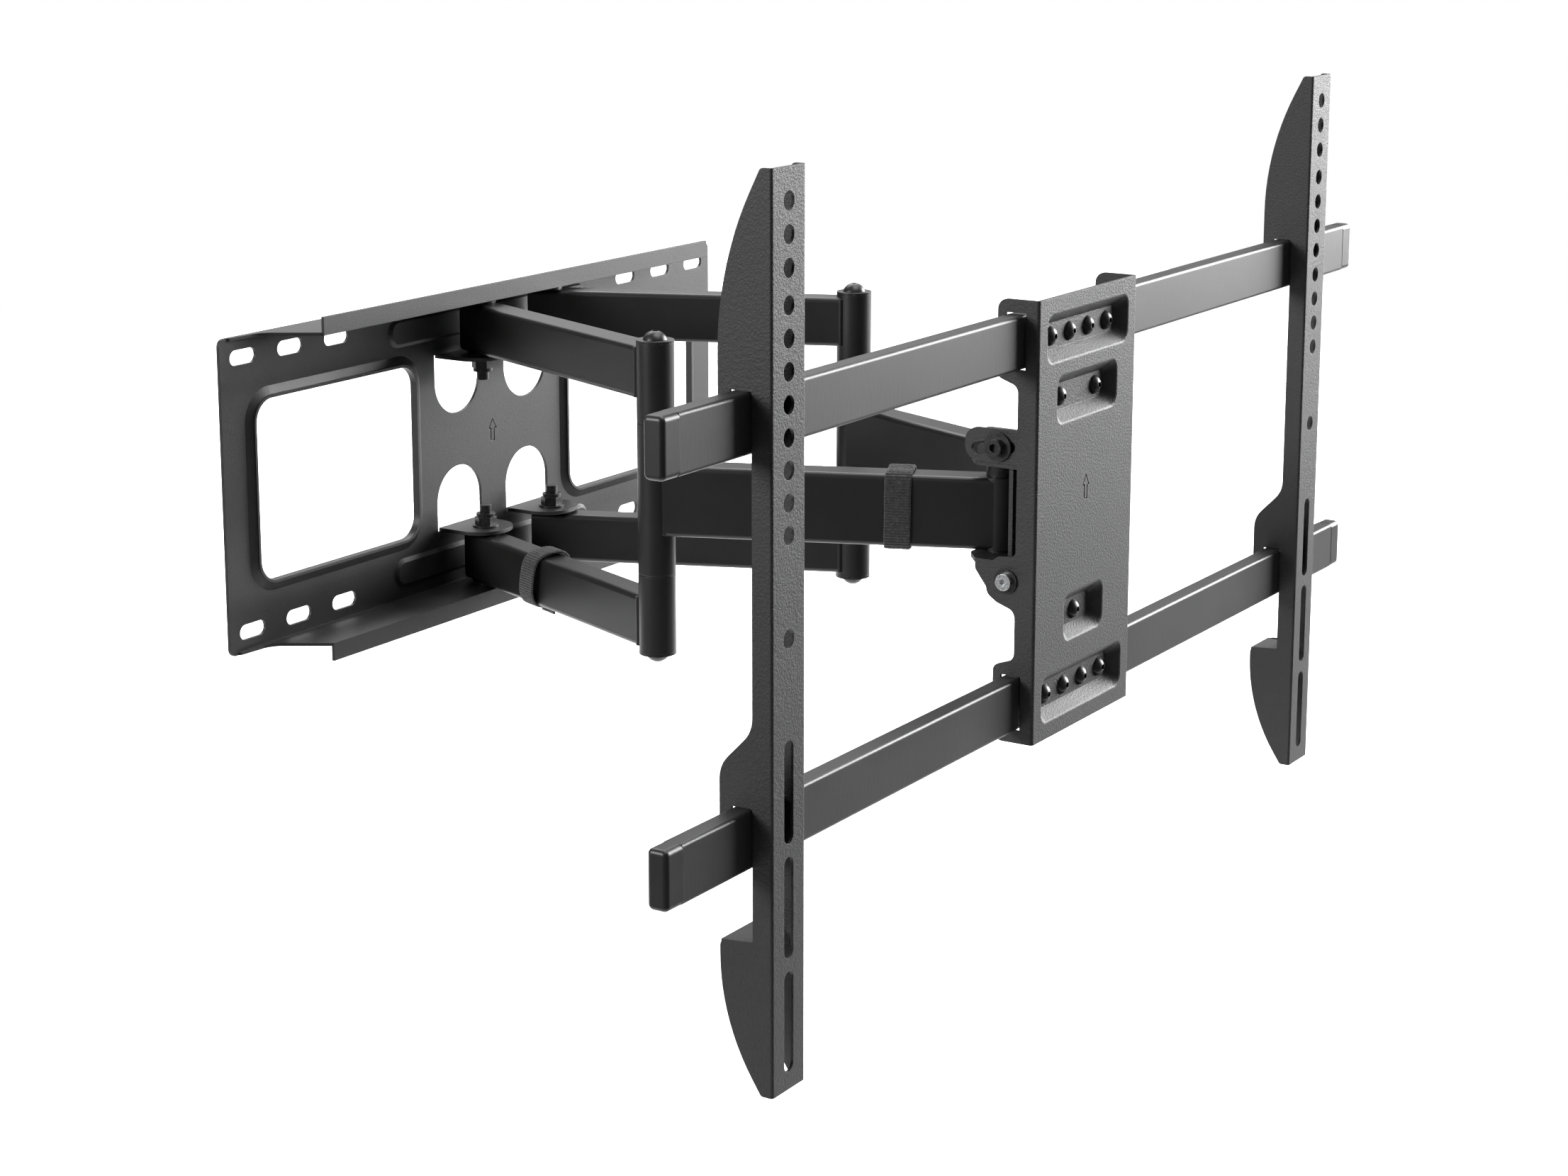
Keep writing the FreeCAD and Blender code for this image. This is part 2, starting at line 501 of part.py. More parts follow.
def rail(z):
    """Flat box rail, open at both ends for the plugs."""
    place = on_yz(-RAIL_HALF_L)
    middle = RAIL_FRONT_Y + RAIL_DEPTH / 2
    push = V(2 * RAIL_HALF_L, 0, 0)
    tube = plate(rect(middle, z, RAIL_DEPTH, RAIL_HEIGHT, 2.5), place, push)
    tube = tube.cut(plate(rect(middle, z, RAIL_DEPTH - 2 * RAIL_WALL, RAIL_HEIGHT - 2 * RAIL_WALL, 1.0), place, push))
    return tube.cut([rod(3.3, V(x, RAIL_FRONT_Y - 1, z), Y_AXIS, RAIL_DEPTH + 2) for x in RAIL_BOLT_X])


def end_cap(z):
    """Moulded plug: rounded outer end and a core that fills the rail's mouth, on the left."""
    middle = RAIL_FRONT_Y + RAIL_DEPTH / 2
    cap = plate(rect(middle, z, RAIL_DEPTH + 0.4, RAIL_HEIGHT + 0.4, 4.0), on_yz(-RAIL_HALF_L - CAP_LENGTH),
                V(CAP_LENGTH, 0, 0))
    outer = [edge for edge in cap.Edges if edge.BoundBox.XMax < -RAIL_HALF_L - CAP_LENGTH + 0.01]
    cap = cap.makeFillet(3.4, outer)
    core = plate(rect(middle, z, RAIL_DEPTH - 2 * RAIL_WALL - 0.1, RAIL_HEIGHT - 2 * RAIL_WALL - 0.1, 0.9),
                 on_yz(-RAIL_HALF_L), V(16, 0, 0))
    return cap.fuse(core).removeSplitter()


def rail_fasteners():
    bolts, nuts = [], []
    floor = CENTRE_FRONT_Y + RECESS_DEPTH
    rear = RAIL_FRONT_Y + RAIL_DEPTH
    for z in (RAIL_Z, -RAIL_Z):
        for x in RAIL_BOLT_X:
            bolts.append(button_screw(7.5, 5.0, 3.0, rear - floor + 6.5, 4.0, V(x, floor, z), -Y_AXIS))
            nuts.append(ring(5.0, 3.0 + RUN, V(x, rear, z), Y_AXIS, 5.0).common(
                hex_prism(10.0, V(x, rear, z), Y_AXIS, 5.0)))
    return bolts, nuts


def stiffener_fasteners():
    bolts, nuts = [], []
    floor = CENTRE_FRONT_Y + RECESS_DEPTH
    rear = floor + SHEET + 3.0
    for x, z in ((-UPPER_BOLT_X, UPPER_BOLT_Z), (UPPER_BOLT_X, UPPER_BOLT_Z), (0.0, LOWER_BOLT_Z)):
        bolts.append(button_screw(7.5, 5.0, 3.0, rear - floor + 6.0, 4.0, V(x, floor, z), -Y_AXIS))
        nuts.append(hex_prism(10.0, V(x, rear, z), Y_AXIS, 5.0).cut(rod(3.0 + RUN, V(x, rear - 1, z), Y_AXIS, 8)))
    return bolts, nuts


def tilt_fasteners():
    """Silver pivot bolts at the bottom, black locking bolts in the slots, on both sides."""
    face = -CENTRE_HALF_W
    ear_inner = -YOKE_HALF_W + YOKE_T
    pivot_at = lambda x: V(x, TILT_Y, TILT_Z)
    lock_at = lambda x: V(x, LOCK_Y, LOCK_Z)
    collar = ring(9.5, 4.0 + RUN, pivot_at(face - 1.5), X_AXIS, 1.4)
    pivot = rod(6.3, pivot_at(face - 5.5), X_AXIS, 4.0).cut(hex_prism(5.0, pivot_at(face - 6.0), X_AXIS, 3.5))
    pivot = pivot.fuse(rod(4.0, pivot_at(face - 2), X_AXIS, ear_inner - face + 9.0)).removeSplitter()
    pivot_nut = hex_prism(13.0, pivot_at(ear_inner + 0.1), X_AXIS, 6.0).cut(rod(4.0 + RUN, pivot_at(-90), X_AXIS, 40))
    washer = ring(11.0, 4.0 + RUN, lock_at(face - 2.1), X_AXIS, 2.0)
    lock = rod(6.2, lock_at(face - 8.1), X_AXIS, 6.0).cut(hex_prism(6.0, lock_at(face - 8.5), X_AXIS, 4.0))
    lock = lock.fuse(rod(4.0, lock_at(face - 3), X_AXIS, ear_inner - face + 10.0)).removeSplitter()
    lock_nut = hex_prism(13.0, lock_at(ear_inner + 0.1), X_AXIS, 6.0).cut(rod(4.0 + RUN, lock_at(-90), X_AXIS, 40))
    return {"tilt_pivot_bolts": both_sides(pivot), "tilt_pivot_collars": both_sides(collar),
            "tilt_lock_bolts": both_sides(lock), "tilt_lock_washers": both_sides(washer),
            "tilt_nuts": both_sides(pivot_nut) + both_sides(lock_nut)}


# ---- television brackets -----------------------------------------------------------------
def bracket_side(x):
    """Side flange: two hooks over the rails, a curved upper fin and a lower fin."""
    front = BRACKET_FRONT_Y
    narrow, wide = front + 15.2, front + 40.5
    behind = front + 31.3
    rail_top = RAIL_Z + RAIL_HEIGHT / 2 + 0.3
    low_top = -RAIL_Z + RAIL_HEIGHT / 2 + 0.3
    points = [(front, BRACKET_TOP, 0), (front + 8.5, BRACKET_TOP, 3), (wide, 233, 225),
              (wide, rail_top - 24, 4), (behind, rail_top - 24, 4), (behind, rail_top, 1),
              (narrow, rail_top, 1), (narrow, -64, 22), (wide, -90, 22),
              (wide, low_top - 24, 4), (behind, low_top - 24, 4), (behind, low_top, 1),
              (narrow, low_top, 1), (narrow, -206, 1), (wide, -208, 5),
              (wide, -263, 150), (front + 9, BRACKET_BOTTOM, 3), (front, BRACKET_BOTTOM, 0)]
    return plate(points, on_yz(x), V(BRACKET_T, 0, 0))


def tv_bracket():
    """Upright bracket centred on X = 0, before it is set out along the rails."""
    half = BRACKET_W / 2
    height = BRACKET_TOP - BRACKET_BOTTOM
    middle = (BRACKET_TOP + BRACKET_BOTTOM) / 2
    face = plate(rect(0, middle, BRACKET_W, height, 1.0), on_xz(BRACKET_FRONT_Y), V(0, BRACKET_T, 0))
    shelf = block(-half + 0.5, half - 0.5, BRACKET_FRONT_Y + 15.2, BRACKET_FRONT_Y + 40.0, -210.2, -208.2)
    body = fuse([face, bracket_side(-half), bracket_side(half - BRACKET_T), shelf])
    rows = [FIRST_HOLE_Z - i * HOLE_PITCH for i in range(3)]
    rows += [FIRST_HOLE_Z - 2 * HOLE_PITCH - 23.4 - i * HOLE_PITCH for i in range(8)]
    rows.append(LAST_HOLE_Z)
    cuts = [rod(HOLE_R, V(0, -600, z), Y_AXIS, 40) for z in rows]
    cuts += [plate(slot(0, z, LONG_SLOT_LENGTH, LONG_SLOT_WIDTH, True), on_xz(-600), V(0, 40, 0))
             for z in LONG_SLOT_Z]
    body = body.cut(cuts)
    bends = [edge for edge in body.Edges
             if edge.Length > height - 12 and edge.BoundBox.XLength < 0.01
             and abs(edge.BoundBox.YMin - BRACKET_FRONT_Y) < 0.01]
    return body.makeFillet(1.9, bends) if bends else body


# ---- write every node --------------------------------------------------------------------
save("wall_plate", wall_plate())
wall_bolts, wall_nuts, wall_washers = wall_pivot_set()
save("wall_pivot_bolts", wall_bolts)
save("wall_pivot_nuts", wall_nuts)
save("wall_pivot_washers", wall_washers)

upper_inner = inner_arm()
middle_arm = outer_arm()
for name, side in (("left", -1), ("right", 1)):
    wall_pivot = V(side * PIVOT_X, WALL_PIVOT_Y, 0)
    knuckle = V(side * KNUCKLE_X, KNUCKLE_Y, 0)
    head_pivot = V(side * PIVOT_X, HEAD_PIVOT_Y, 0)
    arm = place_arm(upper_inner, wall_pivot, knuckle)
    save(name + "_inner_arm_upper", arm)
    save(name + "_inner_arm_lower", flipped(arm))
    save(name + "_outer_arm", place_arm(middle_arm, knuckle, head_pivot))
    pin, screws, washers, bushes = knuckle_set(side * KNUCKLE_X)
    save(name + "_knuckle_pin", pin)
    save(name + "_knuckle_screws", screws)
    save(name + "_knuckle_washers", washers)
    save(name + "_knuckle_bushes", bushes)
    bolt, nut, spacers = head_pivot_set(side * PIVOT_X)
    save(name + "_head_bolt", bolt)
    save(name + "_head_nut", nut)
    save(name + "_head_spacers", spacers)

left_wall, left_knuckle = V(-PIVOT_X, WALL_PIVOT_Y, 0), V(-KNUCKLE_X, KNUCKLE_Y, 0)
left_head = V(-PIVOT_X, HEAD_PIVOT_Y, 0)
loose = strap_ring(INNER_W, INNER_H, -INNER_Z, 86, 20, 0.9, 1.8)
save("inner_arm_strap", place_arm(loose, left_wall, left_knuckle))
tight = strap_ring(OUTER_W, OUTER_H, 0, 178, 20, 0.4, 2.0)
save("outer_arm_strap", place_arm(tight, left_knuckle, left_head))

save("head_yoke", head_yoke())
save("centre_plate", centre_plate())
save("rear_stiffener", rear_stiffener())
save("upper_rail", rail(RAIL_Z))
save("lower_rail", rail(-RAIL_Z))
for name, z in (("upper", RAIL_Z), ("lower", -RAIL_Z)):
    cap = end_cap(z)
    save(name + "_left_end_cap", cap)
    save(name + "_right_end_cap", mirrored(cap))
rail_bolts, rail_nuts = rail_fasteners()
save("rail_bolts", rail_bolts)
save("rail_nuts", rail_nuts)
plate_bolts, plate_nuts = stiffener_fasteners()
save("stiffener_bolts", plate_bolts)
save("stiffener_nuts", plate_nuts)
for name, solids in tilt_fasteners().items():
    save(name, solids)

bracket = tv_bracket()
for name, x in (("left", -BRACKET_X), ("right", BRACKET_X)):
    placed = bracket.copy()
    placed.translate(V(x, 0, 0))
    save(name + "_tv_bracket", placed)
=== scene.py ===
import json
import math

import bmesh
import bpy
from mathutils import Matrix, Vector, noise


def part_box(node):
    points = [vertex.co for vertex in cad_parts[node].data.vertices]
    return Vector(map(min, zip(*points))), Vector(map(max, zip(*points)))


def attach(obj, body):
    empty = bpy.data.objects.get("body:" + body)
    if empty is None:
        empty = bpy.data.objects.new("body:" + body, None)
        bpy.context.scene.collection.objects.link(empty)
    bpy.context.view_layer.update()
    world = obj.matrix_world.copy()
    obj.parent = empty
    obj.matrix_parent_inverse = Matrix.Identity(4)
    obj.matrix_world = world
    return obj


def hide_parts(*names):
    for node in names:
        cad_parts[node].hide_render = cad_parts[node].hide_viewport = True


# Full-motion television wall mount: materials, edge rounding, woven straps, light and camera
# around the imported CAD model. Metres, +Z up, the television side is -Y.

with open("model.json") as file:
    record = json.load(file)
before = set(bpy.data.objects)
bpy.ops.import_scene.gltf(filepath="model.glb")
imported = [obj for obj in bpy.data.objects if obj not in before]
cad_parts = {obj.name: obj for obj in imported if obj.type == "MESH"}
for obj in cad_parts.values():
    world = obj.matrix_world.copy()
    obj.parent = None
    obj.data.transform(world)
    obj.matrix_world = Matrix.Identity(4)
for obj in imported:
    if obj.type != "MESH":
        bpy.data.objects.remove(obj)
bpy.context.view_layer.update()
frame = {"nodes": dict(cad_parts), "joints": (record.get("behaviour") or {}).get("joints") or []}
nodes = frame["nodes"]
scene = bpy.context.scene

# ---- sizes and tones, metres and degrees ---------------------------------------------------
EDGE_SOFTNESS = 0.0006
FLOOR_Z = -0.78
FLOOR_X, FLOOR_Y = (-1.1, 6.2), (-1.0, 4.6)
CAMERA_AT = (-1.9783, -1.5524, 0.4942)
CAMERA_YAW, CAMERA_PITCH = 57.6, 11.81
CAMERA_LENS, CAMERA_SHIFT = 68.61, -0.08
CAMERA_SENSOR, CAMERA_FAR = 36.0, 200.0
STRAP_THICK = 0.0018
STRAP_WIDTH = 0.020
STRAP_COLUMNS = 26
RIB_PITCH = 0.0021
RIB_HEIGHT = 0.00035
# share of the half width where the strap's selvedge starts, and how much thinner it gets there
SELVEDGE_FROM, SELVEDGE_SPAN, SELVEDGE_THIN, SELVEDGE_FLAT = 0.44, 0.06, 0.22, 0.6
# noise frequencies (per metre of tape, or per width of tape) and depth of the wavy edge
WAVE_RATE, WAVE_DEPTH = 90, 0.0005
RIB_SKEW_ACROSS, RIB_SKEW_ALONG = 9, 300
FUZZ_ACROSS, FUZZ_ALONG, FUZZ_SHARE = 38, 1500, 0.8
# a strap's ring: samples on its outline, rows in one turn, rows of the ramp up onto the lap
RING_SAMPLES, RING_ROWS, LAP_ROWS, LAP_RISE = 720, 420, 40, 1.15
TAIL_ROWS, TAIL_BEND_ROWS, TAIL_STEP = 14, 7, 0.00055
WORLD_GREY, WORLD_WHITE = 0.14, 1.0


# ---- material helpers ----------------------------------------------------------------------
class Graph:
    """A new material's node tree, with short calls for making and linking nodes."""

    def __init__(self, name):
        self.material = bpy.data.materials.new(name)
        self.material.use_nodes = True
        self.tree = self.material.node_tree
        self.shader = self.tree.nodes["Principled BSDF"]
        self.place = self.add("ShaderNodeTexCoord").outputs["Object"]

    def add(self, kind, **values):
        made = self.tree.nodes.new(kind)
        for key, value in values.items():
            setattr(made, key, value)
        return made

    def link(self, source, target):
        self.tree.links.new(source, target)

    def noise(self, scale, detail=2.0, roughness=0.5, stretch=None):
        texture = self.add("ShaderNodeTexNoise")
        texture.inputs["Scale"].default_value = scale
        texture.inputs["Detail"].default_value = detail
        texture.inputs["Roughness"].default_value = roughness
        place = self.place
        if stretch:
            mapping = self.add("ShaderNodeMapping")
            mapping.inputs["Scale"].default_value = stretch
            self.link(place, mapping.inputs["Vector"])
            place = mapping.outputs["Vector"]
        self.link(place, texture.inputs["Vector"])
        return texture.outputs["Fac"]

    def ramp(self, source, stops):
        made = self.add("ShaderNodeValToRGB")
        for i, (at, tone) in enumerate(stops):
            element = made.color_ramp.elements[i] if i < 2 else made.color_ramp.elements.new(at)
            element.position = at
            element.color = (*tone, 1.0) if isinstance(tone, tuple) else (tone, tone, tone, 1.0)
        self.link(source, made.inputs["Fac"])
        return made.outputs["Color"]

    def math(self, operation, a, b):
        made = self.add("ShaderNodeMath", operation=operation)
        for socket, value in zip(made.inputs, (a, b)):
            if isinstance(value, (int, float)):
                socket.default_value = value
            else:
                self.link(value, socket)
        return made.outputs["Value"]

    def bump(self, height, distance, strength=1.0, normal=None):
        made = self.add("ShaderNodeBump")
        made.inputs["Distance"].default_value = distance
        made.inputs["Strength"].default_value = strength
        self.link(height, made.inputs["Height"])
        if normal is not None:
            self.link(normal, made.inputs["Normal"])
        return made.outputs["Normal"]

    def soft_edges(self, radius=EDGE_SOFTNESS):
        made = self.add("ShaderNodeBevel", samples=4)
        made.inputs["Radius"].default_value = radius
        return made.outputs["Normal"]

    def set(self, **values):
        """Sets uniform values directly on the shader's sockets."""
        for key, value in values.items():
            self.shader.inputs[key.replace("_", " ")].default_value = value


def powder_coat(name, dark, light, grain, grain_depth, rough, stretch=None):
    """Satin black powder coat: pebbled skin, cloudy tone and patchy gloss; the colour is painted lighter
    on the pebble's high spots and darker in its low spots, a painted highlight and painted shade.
    """
    g = Graph(name)
    pebble = g.noise(grain, 3.0, 0.6, stretch)
    cloud = g.noise(14.0, 4.0, 0.6)
    fleck = g.noise(grain * 2.6, 1.0, 0.5)
    # painted light: the base colour follows the pebble bump, lighter on its high spots as a painted
    # highlight and darker in its low spots as painted shade, mixed with a random cloudy tone
    tone = g.math("ADD", g.math("MULTIPLY", pebble, 0.55), g.math("MULTIPLY", cloud, 0.45))
    g.link(g.ramp(tone, ((0.30, dark), (0.72, light))), g.shader.inputs["Base Color"])
    skin = g.math("ADD", g.math("MULTIPLY", fleck, 0.12), g.math("MULTIPLY", cloud, 0.10))
    g.link(g.math("ADD", skin, rough - 0.11), g.shader.inputs["Roughness"])
    g.link(g.bump(pebble, grain_depth, 0.8, g.soft_edges()), g.shader.inputs["Normal"])
    g.set(Specular_IOR_Level=0.42)
    return g.material


def black_oxide(name):
    """Glossy black fastener: a fine bumpy skin and a little handling wear."""
    g = Graph(name)
    wear = g.noise(260.0, 3.0, 0.6)
    g.link(g.ramp(wear, ((0.45, 0.006), (0.85, 0.028))), g.shader.inputs["Base Color"])
    g.link(g.ramp(g.noise(420.0, 2.0), ((0.3, 0.33), (0.8, 0.46))), g.shader.inputs["Roughness"])
    g.link(g.bump(g.noise(700.0, 2.0), 0.00004, 0.6, g.soft_edges(0.0004)),
           g.shader.inputs["Normal"])
    g.set(Specular_IOR_Level=0.38, Coat_Weight=0.05, Coat_Roughness=0.2)
    return g.material


def bare_metal(name, dark, light, low, high, stretch=None):
    """Zinc or turned steel: tone patches and fine scratches over a metallic base."""
    g = Graph(name)
    g.link(g.ramp(g.noise(340.0, 3.0, 0.6), ((0.3, dark), (0.75, light))),
           g.shader.inputs["Base Color"])
    g.link(g.ramp(g.noise(900.0, 2.0, 0.5, stretch), ((0.3, low), (0.8, high))),
           g.shader.inputs["Roughness"])
    g.link(g.bump(g.noise(1500.0, 2.0, 0.5, stretch), 0.00003, 0.6, g.soft_edges(0.0003)),
           g.shader.inputs["Normal"])
    g.set(Metallic=1.0)
    return g.material


def moulded(name, dark, light, rough):
    """Moulded plastic with a spark-eroded skin."""
    g = Graph(name)
    skin = g.noise(1500.0, 2.0, 0.6)
    g.link(g.ramp(g.noise(60.0, 3.0), ((0.3, dark), (0.75, light))), g.shader.inputs["Base Color"])
    g.link(g.math("ADD", g.math("MULTIPLY", skin, 0.10), rough - 0.05), g.shader.inputs["Roughness"])
    g.link(g.bump(skin, 0.00008, 0.6, g.soft_edges()), g.shader.inputs["Normal"])
    g.set(Specular_IOR_Level=0.45)
    return g.material


def webbing(name):
    """Hook-and-loop tape: matt woven yarn, its colour painted pale on the bump's high spots and dark in
    its low spots, a painted highlight and painted shade.
    """
    g = Graph(name)
    yarn = g.noise(1300.0, 4.0, 0.75)
    clump = g.noise(380.0, 3.0, 0.6)
    mixed = g.math("ADD", g.math("MULTIPLY", yarn, 0.65), g.math("MULTIPLY", clump, 0.35))
    # painted light: the base colour follows the bump height, pale on the high spots as a painted
    # highlight and darkest in the low spots as painted shade
    g.link(g.ramp(mixed, ((0.36, 0.010), (0.55, 0.030), (0.72, 0.11))), g.shader.inputs["Base Color"])
    g.link(g.bump(mixed, 0.0006, 0.9), g.shader.inputs["Normal"])
    g.set(Roughness=0.92, Specular_IOR_Level=0.2, Sheen_Weight=0.35, Sheen_Roughness=0.5)
    return g.material


def floor_paint(name):
    """Plain pale studio floor with a barely visible mottle."""
    g = Graph(name)
    g.link(g.ramp(g.noise(1.3, 2.0), ((0.2, 0.86), (0.8, 0.90))), g.shader.inputs["Base Color"])
    g.set(Roughness=0.9, Specular_IOR_Level=0.1)
    return g.material


COARSE = powder_coat("coat_coarse", 0.007, 0.015, 620.0, 0.00050, 0.55)
MEDIUM = powder_coat("coat_medium", 0.007, 0.013, 900.0, 0.00016, 0.46)
RAIL_COAT = powder_coat("coat_rail", 0.008, 0.015, 700.0, 0.00010, 0.44, (1.0, 1.0, 0.12))
SMOOTH = powder_coat("coat_smooth", 0.005, 0.009, 1100.0, 0.00006, 0.38)
FASTENER = black_oxide("fastener_black")
ZINC = bare_metal("zinc_bright", (0.78, 0.81, 0.83), (0.94, 0.95, 0.96), 0.20, 0.34)
STEEL = bare_metal("steel_turned", (0.30, 0.30, 0.30), (0.48, 0.48, 0.48), 0.30, 0.45,
                   (1.0, 1.0, 0.1))
CAP = moulded("cap_plastic", 0.005, 0.009, 0.40)
BUSH = moulded("bush_plastic", 0.010, 0.016, 0.45)
STRAP = webbing("strap_webbing")


# ---- CAD nodes -----------------------------------------------------------------------------
def finish_for(name):
    """Material of a CAD node, chosen by its name."""
    if name.endswith(("_tv_bracket", "centre_plate", "head_yoke")):
        return COARSE
    if name.endswith("_rail"):
        return RAIL_COAT
    if name.endswith("_end_cap"):
        return CAP
    if name.endswith("_knuckle_bushes"):
        return BUSH
    if name.endswith("_knuckle_pin"):
        return STEEL
    if name == "tilt_pivot_bolts":
        return ZINC
    if "_arm" in name:
        return SMOOTH
    if name.endswith(("bolts", "bolt", "nuts", "nut", "screws", "washers", "collars", "spacers")):
        return FASTENER
    return MEDIUM


for node_name, piece in nodes.items():
    piece.data.materials.clear()
    piece.data.materials.append(finish_for(node_name))


# ---- woven straps --------------------------------------------------------------------------
def strap_axes(node_name, arm_from, arm_to):
    """Centre of a strap's CAD band with the directions along the arm and across it."""
    low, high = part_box(node_name)
    along = (arm_to - arm_from).normalized()
    across = Vector((along.y, -along.x, 0.0))
    return (low + high) / 2, along, across


def ring_outline(half_w, half_h, power, count):
    """Evenly spaced points and outward normals of a rounded rectangle (a superellipse)."""
    raw = []
    for i in range(RING_SAMPLES):
        a = 2 * math.pi * i / RING_SAMPLES
        c, s = math.cos(a), math.sin(a)
        raw.append(Vector((half_w * math.copysign(abs(c) ** (2 / power), c),
                           half_h * math.copysign(abs(s) ** (2 / power), s))))
    steps = [(raw[(i + 1) % RING_SAMPLES] - raw[i]).length for i in range(RING_SAMPLES)]
    total = sum(steps)
    points, travelled, i = [], 0.0, 0
    for k in range(count):
        want = total * k / count
        while travelled + steps[i] < want:
            travelled += steps[i]
            i += 1
        points.append(raw[i].lerp(raw[(i + 1) % RING_SAMPLES], (want - travelled) / steps[i]))
    normals = []
    for k in range(count):
        run = (points[(k + 1) % count] - points[k - 1]).normalized()
        normals.append(Vector((run.y, -run.x)))
    return points, normals


def woven_band(name, rows, seed):
    """Thick ribbed tape through rows of (centre, outward, along); ribs run across the tape."""
    mesh = bpy.data.meshes.new(name)
    bm = bmesh.new()
    travelled = 0.0
    grid = []
    for i, (centre, outward, along) in enumerate(rows):
        if i:
            travelled += (centre - rows[i - 1][0]).length
        loop = []
        for face in (1, -1):
            for j in range(STRAP_COLUMNS + 1):
                u = j / STRAP_COLUMNS - 0.5
                edge = max(0.0, abs(u) - SELVEDGE_FROM) / SELVEDGE_SPAN
                wobble = noise.noise(Vector((travelled * WAVE_RATE, seed, 0.0))) * WAVE_DEPTH
                skew = noise.noise(Vector((u * RIB_SKEW_ACROSS, travelled * RIB_SKEW_ALONG, seed)))
                rib = math.sin(2 * math.pi * travelled / RIB_PITCH + skew)
                fuzz = noise.noise(Vector((u * FUZZ_ACROSS, travelled * FUZZ_ALONG, seed + face)))
                lift = STRAP_THICK * (0.5 - SELVEDGE_THIN * edge ** 2)
                if face > 0:
                    lift += RIB_HEIGHT * (rib * (1 - edge * SELVEDGE_FLAT) + FUZZ_SHARE * fuzz)
                side = u if face > 0 else -u
                spot = centre + along * (side * STRAP_WIDTH + wobble) + outward * (lift * face)
                loop.append(bm.verts.new(spot))
        grid.append(loop)
    count = len(grid[0])
    for a, b in zip(grid, grid[1:]):
        for j in range(count):
            k = (j + 1) % count
            bm.faces.new((a[j], a[k], b[k], b[j]))
    bm.faces.new(list(reversed(grid[0])))
    bm.faces.new(grid[-1])
    bmesh.ops.recalc_face_normals(bm, faces=bm.faces)
    bm.to_mesh(mesh)
    bm.free()
    for polygon in mesh.polygons:
        polygon.use_smooth = True
    mesh.materials.append(STRAP)
    made = bpy.data.objects.new(name, mesh)
    scene.collection.objects.link(made)
    return made


hinges = {joint["name"]: Vector(joint["pos_m"]) for joint in frame["joints"] if "pos_m" in joint}
wall_pivot, knuckle, head_pivot = (hinges[n] for n in
                                   ("arm_extension", "left_elbow", "left_head_hinge"))


def spiral_rows(centre, along, across, half_w, half_h, power, lean, start, turns):
    """Rows of a strap wound round the arm from angle share start, its end lapping over its start."""
    points, normals = ring_outline(half_w, half_h, power, RING_ROWS)
    rows = []
    length = int(RING_ROWS * turns)
    for i in range(length + 1):
        k = (i + int(start * RING_ROWS)) % RING_ROWS
        over = max(0.0, (i - (RING_ROWS - LAP_ROWS)) / LAP_ROWS)
        p = points[k] + normals[k] * (STRAP_THICK * LAP_RISE * min(1.0, over))
        spot = centre + across * p.x + Vector((0, 0, p.y)) + along * (lean * p.y + lean * 0.5 * p.x)
        outward = (across * normals[k].x + Vector((0, 0, normals[k].y))).normalized()
        rows.append((spot, outward, along))
    return rows


# tight strap round the left outer arm, its lap on the far side
centre, along, across = strap_axes("outer_arm_strap", knuckle, head_pivot)
outer_half_h = (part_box("outer_arm_strap")[1].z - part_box("outer_arm_strap")[0].z) / 2 - STRAP_THICK / 2
tight_rows = spiral_rows(centre, along, across, half_w=outer_half_h - 0.0135, half_h=outer_half_h,
                         power=7.0, lean=0.012, start=0.36, turns=1.16)
tight = woven_band("outer_arm_strap_woven", tight_rows, 3.0)
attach(tight, "left_outer_link")
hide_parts("outer_arm_strap")

# loose strap round the lower left inner arm, leaning, with a short tail hanging free
centre, along, across = strap_axes("inner_arm_strap", wall_pivot, knuckle)
inner_half_h = (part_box("inner_arm_strap")[1].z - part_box("inner_arm_strap")[0].z) / 2 - STRAP_THICK / 2
loose_rows = spiral_rows(centre + Vector((0, 0, 0.0010)), along, across, half_w=inner_half_h - 0.0035,
                         half_h=inner_half_h + 0.0008, power=2.9, lean=0.20, start=0.62, turns=1.08)
_, tail_out, tail_along = loose_rows[-1]
run = (loose_rows[-1][0] - loose_rows[-6][0]).normalized()
for i in range(1, TAIL_ROWS + 1):
    sag = min(1.0, i / TAIL_BEND_ROWS)
    bend = (run * (1 - sag) + Vector((0, 0, -1)) * sag).normalized()
    spot = loose_rows[-1][0] + bend * TAIL_STEP
    outward = bend.cross(tail_along).normalized()
    outward = outward if outward.dot(tail_out) > 0 else -outward
    loose_rows.append((spot, outward, tail_along))
loose = woven_band("inner_arm_strap_woven", loose_rows, 11.0)
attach(loose, "left_inner_arms")
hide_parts("inner_arm_strap")


# ---- floor, light and camera ---------------------------------------------------------------
def stage_floor():
    """Plain pale floor under and behind the piece."""
    mesh = bpy.data.meshes.new("studio_floor")
    (x0, x1), (y0, y1) = FLOOR_X, FLOOR_Y
    mesh.from_pydata([(x0, y0, FLOOR_Z), (x1, y0, FLOOR_Z), (x1, y1, FLOOR_Z), (x0, y1, FLOOR_Z)],
                     [], [(0, 1, 2, 3)])
    mesh.materials.append(floor_paint("floor_paint"))
    made = bpy.data.objects.new("studio_floor", mesh)
    scene.collection.objects.link(made)


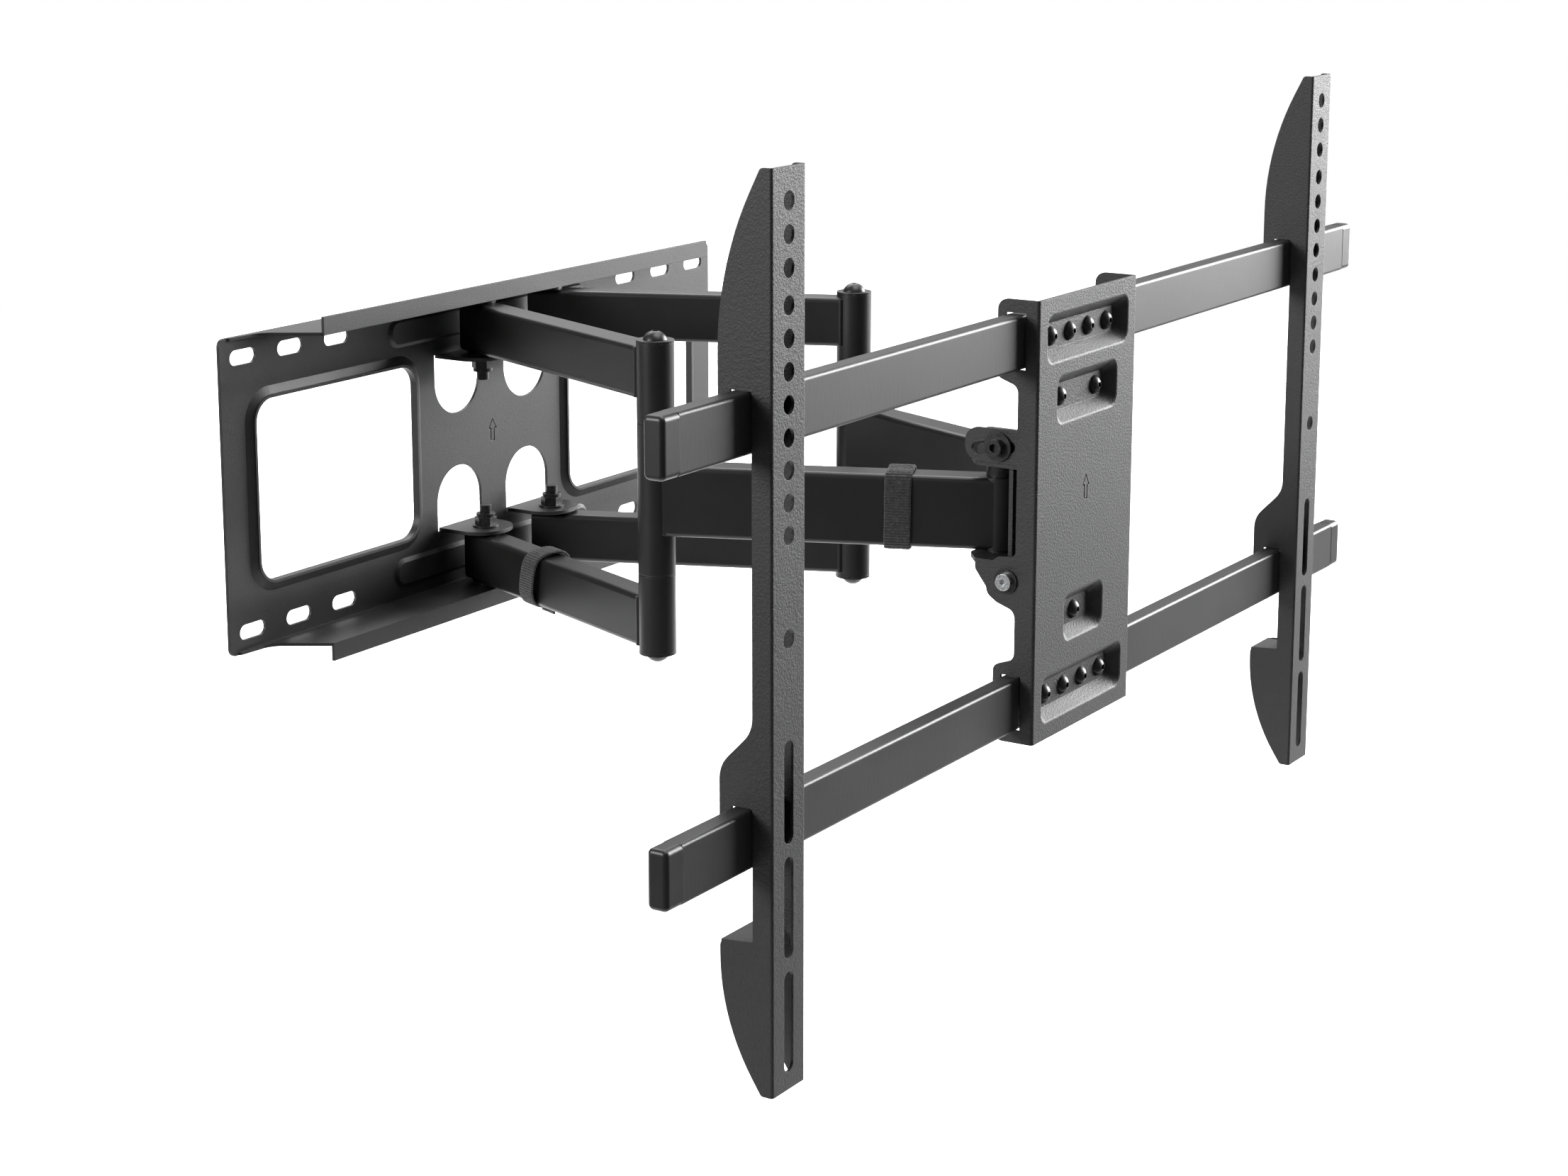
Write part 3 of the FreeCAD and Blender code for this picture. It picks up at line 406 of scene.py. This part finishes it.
def soft_box(name, at, target, size, power, spread=180.0):
    """Rectangular lamp at a place, turned to a target; power in watts, spread in degrees."""
    lamp = bpy.data.lights.new(name, "AREA")
    lamp.shape = "RECTANGLE"
    lamp.size, lamp.size_y = size
    lamp.energy = power
    lamp.spread = math.radians(spread)
    made = bpy.data.objects.new(name, lamp)
    made.location = at
    made.rotation_euler = (Vector(target) - Vector(at)).to_track_quat("-Z", "Y").to_euler()
    scene.collection.objects.link(made)


def studio_world():
    """Grey surroundings to light the piece, white behind it."""
    world = bpy.data.worlds.new("studio_world")
    world.use_nodes = True
    tree = world.node_tree
    back = tree.nodes["Background"]
    back.inputs["Color"].default_value = (1.0, 1.0, 1.0, 1.0)
    back.inputs["Strength"].default_value = WORLD_GREY
    bright = tree.nodes.new("ShaderNodeBackground")
    bright.inputs["Color"].default_value = (1.0, 1.0, 1.0, 1.0)
    bright.inputs["Strength"].default_value = WORLD_WHITE
    path = tree.nodes.new("ShaderNodeLightPath")
    mix = tree.nodes.new("ShaderNodeMixShader")
    tree.links.new(path.outputs["Is Camera Ray"], mix.inputs["Fac"])
    tree.links.new(back.outputs["Background"], mix.inputs[1])
    tree.links.new(bright.outputs["Background"], mix.inputs[2])
    tree.links.new(mix.outputs["Shader"], tree.nodes["World Output"].inputs["Surface"])
    scene.world = world


stage_floor()
studio_world()
soft_box("key_right", (4.3, -2.4, 1.15), (0.0, -0.45, 0.10), (3.2, 2.5), 185.0, 90.0)
soft_box("left_fill", (-3.4, 1.3, 1.2), (-0.2, -0.4, 0.1), (1.8, 1.4), 40.0, 90.0)
soft_box("top_soft", (0.2, -0.9, 2.8), (0.0, -0.4, 0.0), (2.4, 2.0), 40.0, 120.0)
soft_box("back_fill", (3.2, 3.0, 1.6), (0.4, 0.2, -0.2), (3.0, 2.4), 18.0)
soft_box("floor_light", (3.6, 2.8, 3.4), (3.4, 2.6, FLOOR_Z), (5.5, 5.0), 480.0, 115.0)

camera_data = bpy.data.cameras.new("photo_camera")
camera_data.sensor_width = CAMERA_SENSOR
camera_data.lens = CAMERA_LENS
camera_data.shift_y = CAMERA_SHIFT
camera_data.clip_end = CAMERA_FAR
camera = bpy.data.objects.new("photo_camera", camera_data)
camera.location = CAMERA_AT
camera.rotation_euler = (math.radians(90.0 - CAMERA_PITCH), 0.0, math.radians(-CAMERA_YAW))
scene.collection.objects.link(camera)
scene.camera = camera
scene.view_settings.view_transform = "Standard"
